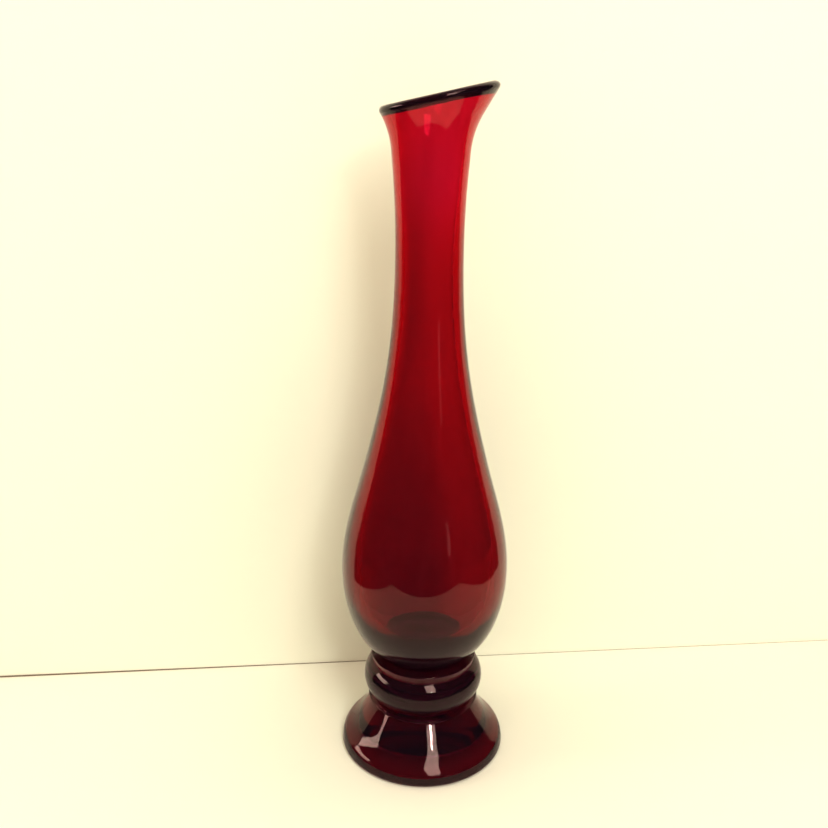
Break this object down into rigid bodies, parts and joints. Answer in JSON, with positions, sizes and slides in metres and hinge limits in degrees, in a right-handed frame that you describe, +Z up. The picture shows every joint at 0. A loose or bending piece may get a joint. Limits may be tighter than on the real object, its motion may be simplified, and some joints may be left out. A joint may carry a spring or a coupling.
{
  "type": "bud vase",
  "caption": "Tall slim bud vase in ruby glass: slanted flared mouth with a round lip, long neck, pear-shaped bulb, solid knop and spread round foot.",
  "frame": {"origin": "level with the flat ring the foot stands on, on the axis the vase was turned about", "axes": "+Z up along that axis; +X towards the high side of the slanted mouth; +Y level, across the mouth"},
  "size_m": [0.0592, 0.0592, 0.2305],
  "materials": {
    "body_glass": "polished transparent ruby red",
    "stem_glass": "polished, solid and so deep that it looks nearly black",
    "lip_glass": "fire-polished ruby red"
  },
  "bodies": {
    "root": {"foot": "stem_glass", "lower_merese": "stem_glass", "knop": "stem_glass", "upper_merese": "stem_glass", "blown_body": "body_glass", "lip_wrap": "lip_glass"}
  },
  "joints": []
}
